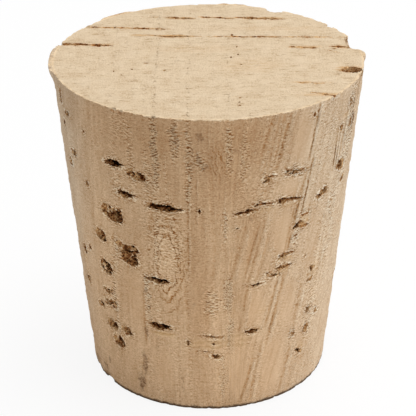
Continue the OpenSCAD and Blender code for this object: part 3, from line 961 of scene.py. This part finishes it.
# The two ends of each crack and its widest half width, in mm.
TOP_CRACKS = [
    ((-9.0, 13.2), (-4.6, 12.9), 0.08), ((-5.0, 12.8), (-1.5, 12.4), 0.4),
    ((-1.2, 13.1), (3.2, 12.4), 0.3), ((3.0, 12.8), (9.4, 12.1), 0.46),
    ((-14.8, 9.8), (-3.6, 8.8), 0.28), ((-8.6, 7.1), (0.5, 6.4), 0.14),
    ((-5.9, 6.7), (-2.1, 6.5), 0.36), ((-0.5, 6.5), (16.4, 6.0), 0.24),
    ((-18.2, 4.4), (-10.8, 3.6), 0.5), ((9.2, 3.0), (12.4, 2.8), 0.4),
    ((13.8, 3.2), (16.4, 2.8), 0.28), ((13.0, 2.3), (15.0, 1.2), 0.1),
    ((8.6, -7.5), (12.8, -7.7), 0.15), ((10.8, -10.2), (14.4, -11.6), 0.3)]
BOTTOM_CRACKS = [
    ((-10.1, 5.0), (1.7, 4.6), 0.24), ((-2.2, -5.6), (9.8, -6.2), 0.27),
    ((5.0, 8.7), (10.4, 8.4), 0.36), ((-12.0, -2.2), (-7.0, -2.5), 0.2)]
# Azimuth and height of each end of a crack in the side, and its widest half width.
SIDE_CRACKS = [
    ((9.5, 26.4), (19, 26.8), 0.26), ((17.5, 27.4), (25, 27.15), 0.17),
    ((24.5, 27.2), (28, 27.5), 0.08), ((27, 27.35), (38.8, 26.75), 0.25),
    ((20, 30.5), (26, 30.5), 0.1), ((29, 30.9), (40.5, 30.0), 0.08),
    ((-24.4, 27.3), (-18, 27.3), 0.13), ((-12, 26.9), (-9.5, 27.0), 0.08),
    ((-27.8, 17.6), (-24, 17.5), 0.12), ((-18, 11.0), (-15.5, 11.0), 0.08),
    ((15, 16.9), (24, 17.0), 0.08), ((25, 17.7), (31, 17.6), 0.12),
    ((-4, 10.45), (7, 10.2), 0.12), ((-5, 8.3), (2, 8.2), 0.07),
    ((26, 18.0), (37, 18.6), 0.1), ((-30, 27.8), (-27, 27.8), 0.1)]
CRACK_STEPS = 12


def crack_paths(name, cracks):
    """A mesh of one edge chain for each crack, with its half width and outward direction
    at every point. A crack is its two ends, its half width and that direction, or None
    where it points straight out of the side."""
    corners, edges, widths, outs = [], [], [], []
    for start, end, half_width, out in cracks:
        first = len(corners)
        for step in range(CRACK_STEPS + 1):
            place = Vector(start).lerp(Vector(end), step / CRACK_STEPS)
            if out is None:
                outs.append(around(place.x)[1])
                place = on_side(place.x, place.y)
            else:
                outs.append(out)
            corners.append(place)
            widths.append(half_width)
        edges += [(first + step, first + step + 1) for step in range(CRACK_STEPS)]
    mesh = bpy.data.meshes.new(name)
    mesh.from_pydata(corners, edges, [])
    mark(mesh, "half_width", widths)
    mark_vectors(mesh, "out", outs)
    return mesh


def cracks_tree(name, material):
    """A narrow, deep section swept along each path, pinched at random and at both ends."""
    tree, size, result = new_tree(name, ["Step", "Waviness", "Depth", "Fray"])
    curve = add(tree, "GeometryNodeMeshToCurve", {"Mesh": size["Geometry"]})
    fine = add(tree, "GeometryNodeResampleCurve",
               {"Curve": curve.outputs[0], "Length": size["Step"]}, mode="LENGTH")
    here = position(tree)
    waves = scaled(tree, shaken(tree, here, 0.45, 2.0), size["Waviness"])
    outward = add(tree, "GeometryNodeSetCurveNormal",
                  {"Curve": moved(tree, fine.outputs[0], waves),
                   "Normal": named(tree, "out", "FLOAT_VECTOR")},
                  mode="FREE")
    along = Field(tree, tree.nodes.new("GeometryNodeSplineParameter").outputs[0])
    pinch = noise(tree, here, 1.1, 3.0, 0.7).smooth(0.3, 0.7) * 1.1 + 0.25
    ends = (along * math.pi).sine().most(0.01).power(0.45)
    width = Field(tree, named(tree, "half_width", "FLOAT")) * pinch * ends
    section = add(tree, "GeometryNodeCurvePrimitiveCircle", {"Resolution": 10, "Radius": 1.0})
    deep = add(tree, "GeometryNodeTransform",
               {"Geometry": section.outputs[0], "Scale": joined(tree, size["Depth"], 1.0, 1.0)})
    swept = add(tree, "GeometryNodeCurveToMesh",
                {"Curve": outward.outputs[0], "Profile Curve": deep.outputs[0],
                 "Scale": width, "Fill Caps": True})
    fray = scaled(tree, shaken(tree, here, 5.0), size["Fray"])
    ended(tree, result, moved(tree, swept.outputs[0], fray), material)
    return tree


def end_crack(start, end, half_width, z, out):
    return (*start, z), (*end, z), half_width, (0, 0, out)


end_cracks = grown(
    "end_cracks",
    crack_paths(
        "end_crack_paths",
        [end_crack(*crack, HEIGHT, 1) for crack in TOP_CRACKS]
        + [end_crack(*crack, 0, -1) for crack in BOTTOM_CRACKS]),
    cracks_tree("end_cracks", PIT_TISSUE),
    {"Step": 0.1, "Waviness": 0.5, "Depth": 1.0, "Fray": 0.4},
)
side_cracks = grown(
    "side_cracks",
    crack_paths("side_crack_paths", [(*crack, None) for crack in SIDE_CRACKS]),
    cracks_tree("side_cracks", SLIT_TISSUE),
    {"Step": 0.1, "Waviness": 0.5, "Depth": 3.5, "Fray": 0.24},
)


# ---- Chips --------------------------------------------------------------------------
# Small pieces that have broken off the two edges and left clean cork, the largest where
# a crack in the top meets the right-hand edge. A pore just inside that edge has opened.

# Azimuth, length along the edge, reach in from it and drop down the side, in mm.
TOP_CHIPS = [
    (104, 4.4, 1.25, 1.8), (152, 2.6, 0.9, 1.3), (124, 1.2, 0.45, 0.7),
    (-19, 0.6, 0.3, 0.6), (-34.5, 0.7, 0.3, 0.4), (-31.5, 0.6, 0.25, 0.5),
    (-104, 0.8, 0.5, 0.7)]
BOTTOM_CHIPS = [(-57, 1.6, 0.5, 0.6), (-70, 1.0, 0.4, 0.5), (128, 1.4, 0.5, 0.6)]
# Place of the pore across and along the top, then its length, width and depth.
RIM_PORE = (15.8, -3.9, 2.6, 1.8, 1.9)


def edge_chip(azimuth, length, reach, drop, z):
    along, out = around(azimuth)
    turn = Matrix((along, (0, 0, 1), -out)).transposed()
    return on_side(azimuth, z), turn, (length / 2, drop, reach)


chips = grown(
    "chips",
    pore_points("chip_points",
                [edge_chip(*chip, HEIGHT) for chip in TOP_CHIPS]
                + [edge_chip(*chip, 0) for chip in BOTTOM_CHIPS]),
    pores_tree("chips", SANDED_CORK),
    {"Raggedness": 0.9, "Point": 0.0, "Crumbs": 0.25, "Crumb Size": 2.4, "Fineness": 5},
)
rim_pore = grown(
    "rim_pore",
    pore_points("rim_pore_point", [top_hole(*RIM_PORE)]),
    pores_tree("rim_pore", PIT_TISSUE),
    {"Raggedness": 1.2, "Point": 0.5, "Crumbs": 0.5, "Crumb Size": 2.8, "Fineness": 5},
)


# ---- Stopper ------------------------------------------------------------------------
# The finished stopper, one piece of cork from end to end: the blank with every pore,
# crack and chip cut out of it. The smooth stretches of its surface give up triangles,
# and the pores and edges keep theirs.

TRIANGLES = 190000
SHARPEST_SMOOTH = math.radians(45)

CUTTERS = (pits, slits, pinholes, end_cracks, side_cracks, chips, rim_pore)


def tidied(mesh):
    """Takes away the loose crumbs and the spare corners that cutting leaves, splits every
    face into triangles and closes up the few edges where four of them meet, so that the
    mesh can be thinned and stay closed."""
    work = bmesh.new()
    work.from_mesh(mesh)
    unseen = dict.fromkeys(work.verts)
    pieces = []
    while unseen:
        piece = [unseen.popitem()[0]]
        for corner in piece:
            for edge in corner.link_edges:
                other = edge.other_vert(corner)
                if other in unseen:
                    del unseen[other]
                    piece.append(other)
        pieces.append(piece)
    pieces.sort(key=len)
    bmesh.ops.delete(work, geom=[corner for piece in pieces[:-1] for corner in piece])
    spare = [corner for corner in work.verts if len(corner.link_edges) == 2]
    while spare:
        bmesh.ops.dissolve_verts(work, verts=spare)
        spare = [corner for corner in work.verts if len(corner.link_edges) == 2]
    bmesh.ops.triangulate(work, faces=work.faces, quad_method="SHORT_EDGE", ngon_method="EAR_CLIP")
    pinched = [edge for edge in work.edges if len(edge.link_faces) > 2]
    bmesh.ops.collapse(work, edges=pinched)
    work.to_mesh(mesh)
    work.free()


def mark_mouths(mesh):
    """Marks every corner with its distance in mm from the nearest pore."""
    tissue = [number for number, made_of in enumerate(mesh.materials) if made_of != SANDED_CORK]
    pores = BVHTree.FromPolygons(
        [corner.co for corner in mesh.vertices],
        [face.vertices for face in mesh.polygons if face.material_index in tissue])
    mark(mesh, "to_pore", [pores.find_nearest(corner.co)[3] for corner in mesh.vertices])


for cutter in CUTTERS:
    cut = blank.modifiers.new("cut", "BOOLEAN")
    cut.operation = "DIFFERENCE"
    cut.solver = "MANIFOLD"
    cut.material_mode = "TRANSFER"
    cut.object = cutter
carved = settled(blank, "carved")
for cutter in CUTTERS:
    bpy.data.objects.remove(cutter)
tidied(carved.data)

thin = carved.modifiers.new("thin", "DECIMATE")
thin.ratio = TRIANGLES / len(carved.data.polygons)
stopper = settled(carved, "cork_stopper")
mark_mouths(stopper.data)
stopper.data.transform(Matrix.Scale(MM, 4))
stopper.data.shade_smooth()
stopper.data.set_sharp_from_angle(angle=SHARPEST_SMOOTH)
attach(stopper, "root")
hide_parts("stopper")


# ---- Bench and light ----------------------------------------------------------------
# A plain white surface under a wide, even light, a little stronger from above and from
# the right.

# How far the surface reaches, in m, and how much of its white is its own glow.
FLOOR_REACH = 2.0
FLOOR_GLOW = 0.88


def seen_straight(tree):
    """1 for what the camera sees itself, in a gloss or through glass, and 0 for light."""
    path = tree.nodes.new("ShaderNodeLightPath")
    straight = Field(tree, path.outputs["Is Camera Ray"])
    return straight.most(path.outputs["Is Glossy Ray"]).most(path.outputs["Is Transmission Ray"])


def white_surface():
    """Matt white that looks evenly white and still takes the stopper's shadow."""
    surface = bpy.data.materials.new("white_surface")
    surface.use_nodes = True
    tree = surface.node_tree
    paint = tree.nodes["Principled BSDF"]
    feed_all(tree, paint, {"Base Color": (0.95, 0.95, 0.95, 1), "Roughness": 0.9})
    glow = add(tree, "ShaderNodeEmission", {"Color": (1, 1, 1, 1), "Strength": 1.0})
    blend = add(tree, "ShaderNodeMixShader",
                {"Fac": seen_straight(tree) * FLOOR_GLOW, 1: paint.outputs[0],
                 2: glow.outputs[0]})
    feed(tree, tree.nodes["Material Output"].inputs["Surface"], blend.outputs[0])
    return surface


floor_mesh = bpy.data.meshes.new("floor")
floor_mesh.from_pydata(
    [(x * FLOOR_REACH, y * FLOOR_REACH, 0) for x, y in ((-1, -1), (1, -1), (1, 1), (-1, 1))],
    [], [(0, 1, 2, 3)])
floor_mesh.materials.append(white_surface())
new_object("floor", floor_mesh)

ROOM_LIGHT = 0.5
room = bpy.data.worlds.new("room")
bpy.context.scene.world = room
room.use_nodes = True
sky = room.node_tree.nodes["Background"]
sky.inputs["Color"].default_value = (1, 1, 1, 1)
feed(room.node_tree, sky.inputs["Strength"],
     seen_straight(room.node_tree) * (1 - ROOM_LIGHT) + ROOM_LIGHT)


def soft_lamp(name, place, width, power):
    """A square lamp that faces the stopper."""
    light = bpy.data.lights.new(name, "AREA")
    light.size = width
    light.energy = power
    lamp = new_object(name, light)
    aim = Vector((0, 0, HEIGHT * MM / 2)) - Vector(place)
    lamp.location = place
    lamp.rotation_euler = aim.to_track_quat("-Z", "Y").to_euler()


soft_lamp("overhead", (0.1, 0.05, 0.5), 0.3, 1.35)
soft_lamp("right", (0.5, -0.2, 0.25), 0.3, 0.8)

# The camera stands in front of the stopper and looks down at it. Its angles are degrees up
# from straight down, and round its line of sight.
CAMERA_PLACE = (-0.00006, -0.16384, 0.10296)
CAMERA_TILT, CAMERA_ROLL = 62.844, -0.233
camera_data = bpy.data.cameras.new("camera")
camera_data.lens = 135
camera_data.sensor_width = 36
camera_data.clip_start = 0.005
camera = new_object("camera", camera_data)
camera.matrix_world = (
    Matrix.Translation(CAMERA_PLACE)
    @ Matrix.Rotation(math.radians(CAMERA_TILT), 4, "X")
    @ Matrix.Rotation(math.radians(CAMERA_ROLL), 4, "Z"))
bpy.context.scene.camera = camera
bpy.context.scene.view_settings.view_transform = "Standard"
